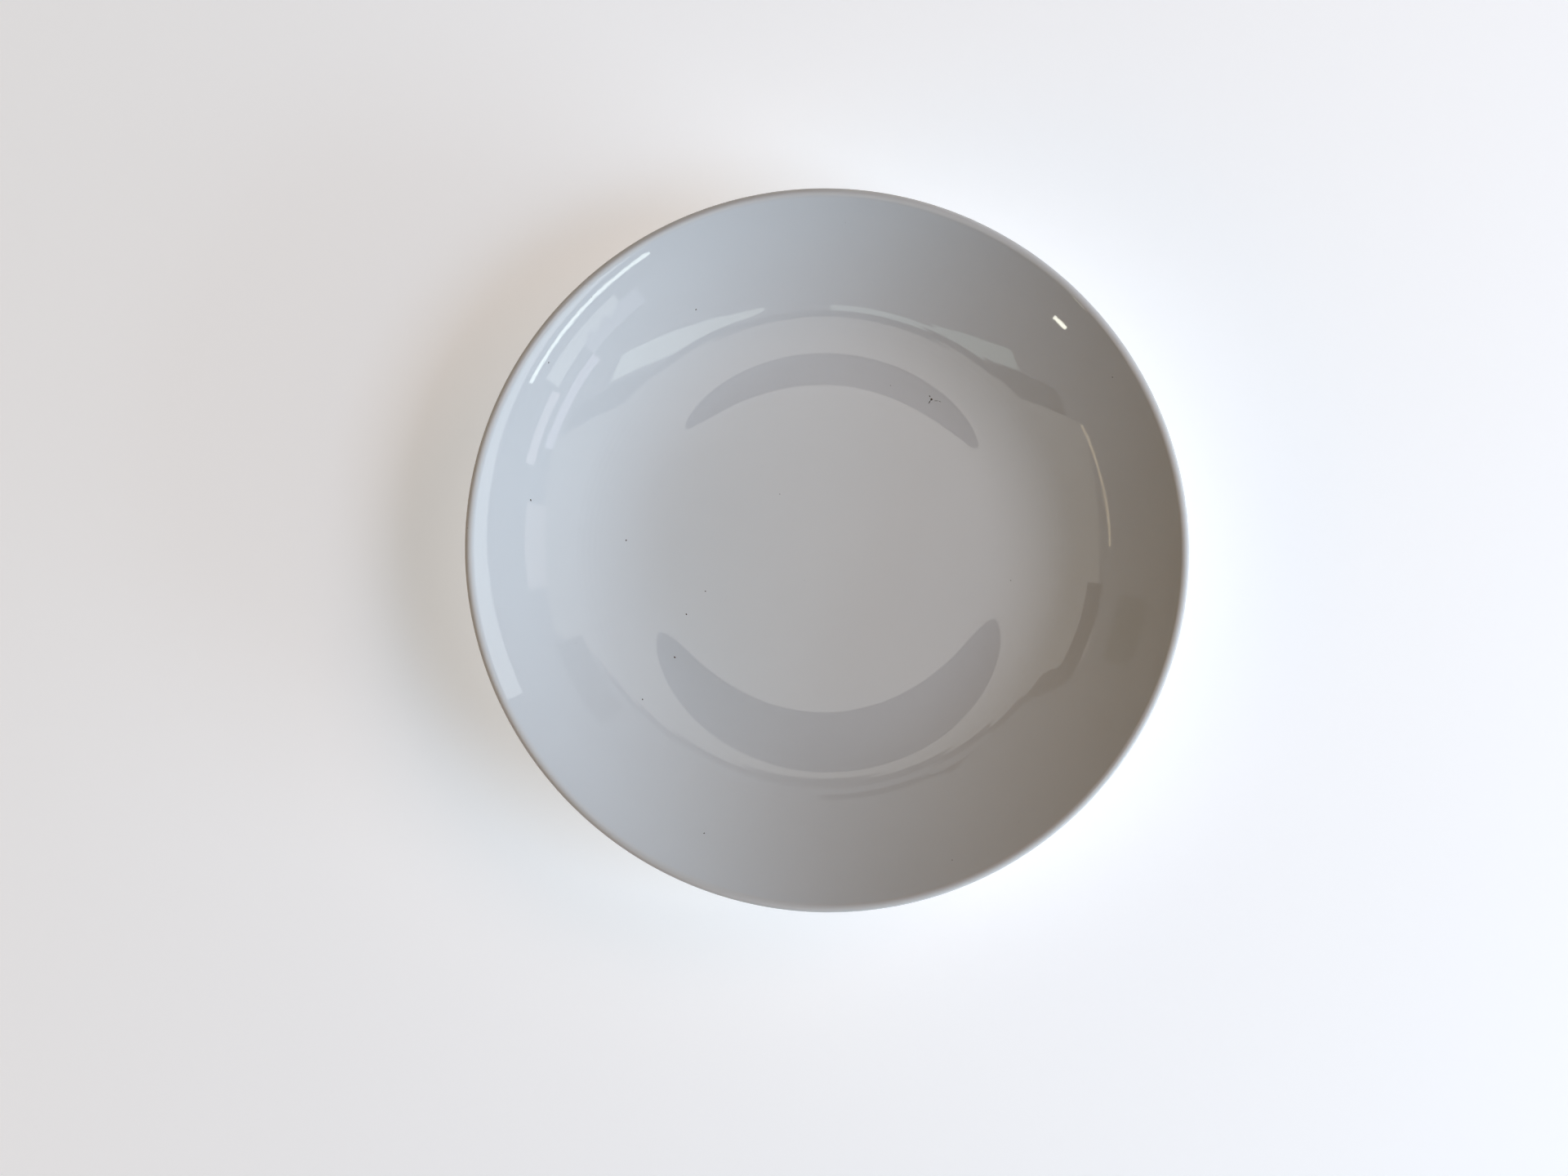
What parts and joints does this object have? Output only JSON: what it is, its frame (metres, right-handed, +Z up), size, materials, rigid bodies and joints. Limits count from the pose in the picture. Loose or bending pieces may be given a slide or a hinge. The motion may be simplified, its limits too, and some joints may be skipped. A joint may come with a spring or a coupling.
{
  "type": "evaporating dish",
  "caption": "Round, shallow dish in glazed white porcelain, with a gently dished floor, a curved side that steepens to a thin rounded rim, and a low foot ring.",
  "frame": {"origin": "centre of the foot ring's ground face, which is the surface that the dish stands on", "axes": "+Z up, along the dish's axis, from the foot to the open mouth; X and Y are any two directions square to it, as the dish is round"},
  "size_m": [0.21, 0.21, 0.044],
  "materials": {
    "glazed_porcelain": "clear gloss glaze over white porcelain",
    "bare_porcelain": "matt, unglazed and ground, on the foot ring's face",
    "iron_speck": "dark specks in and under the glaze"
  },
  "bodies": {
    "root": {"dish": "glazed_porcelain"}
  },
  "joints": []
}
